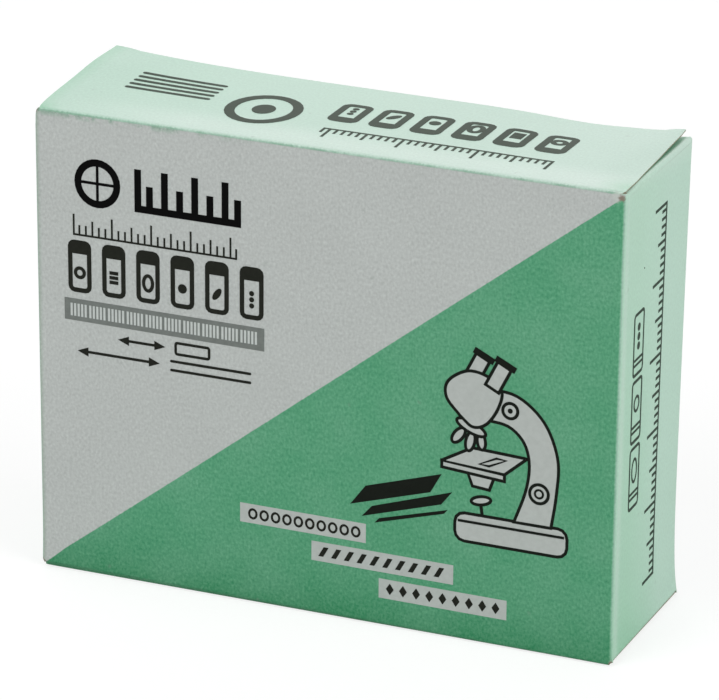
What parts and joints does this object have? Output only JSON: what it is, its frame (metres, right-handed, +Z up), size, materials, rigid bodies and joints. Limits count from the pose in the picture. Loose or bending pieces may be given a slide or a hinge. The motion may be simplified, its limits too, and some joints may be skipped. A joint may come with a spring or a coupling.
{
  "type": "microscope slide carton",
  "caption": "Tuck-flap folding carton of clear glass microscope slides, stacked flat, with a hinged lid and a two-tone printed front.",
  "frame": {"origin": "middle of the carton's underside", "axes": "+X along the carton's width and the slides' length, -Y out of the large printed front, +Z up"},
  "size_m": [0.08, 0.0266, 0.0637],
  "materials": {
    "printed_board": "matte",
    "clear_glass": "polished"
  },
  "bodies": {
    "carton_with_slides": {"carton": "printed_board", "slide_01": "clear_glass", "slide_02": "clear_glass", "slide_03": "clear_glass", "slide_04": "clear_glass", "slide_05": "clear_glass", "slide_06": "clear_glass", "slide_07": "clear_glass", "slide_08": "clear_glass", "slide_09": "clear_glass", "slide_10": "clear_glass", "slide_11": "clear_glass", "slide_12": "clear_glass", "slide_13": "clear_glass", "slide_14": "clear_glass", "slide_15": "clear_glass", "slide_16": "clear_glass", "slide_17": "clear_glass", "slide_18": "clear_glass", "slide_19": "clear_glass", "slide_20": "clear_glass", "slide_21": "clear_glass", "slide_22": "clear_glass", "slide_23": "clear_glass", "slide_24": "clear_glass", "slide_25": "clear_glass", "slide_26": "clear_glass", "slide_27": "clear_glass", "slide_28": "clear_glass", "slide_29": "clear_glass", "slide_30": "clear_glass", "slide_31": "clear_glass", "slide_32": "clear_glass", "slide_33": "clear_glass", "slide_34": "clear_glass", "slide_35": "clear_glass", "slide_36": "clear_glass", "slide_37": "clear_glass", "slide_38": "clear_glass", "slide_39": "clear_glass", "slide_40": "clear_glass", "slide_41": "clear_glass", "slide_42": "clear_glass", "slide_43": "clear_glass", "slide_44": "clear_glass", "slide_45": "clear_glass", "slide_46": "clear_glass", "slide_47": "clear_glass", "slide_48": "clear_glass", "slide_49": "clear_glass", "slide_50": "clear_glass"},
    "lid_flap": {"lid": "printed_board"}
  },
  "joints": [
    {"name": "lid_fold", "type": "hinge", "parent": "carton_with_slides", "child": "lid_flap", "pos_m": [0, -0.0133, 0.062], "axis": [1, 0, 0], "range_deg": [0, 175]}
  ]
}
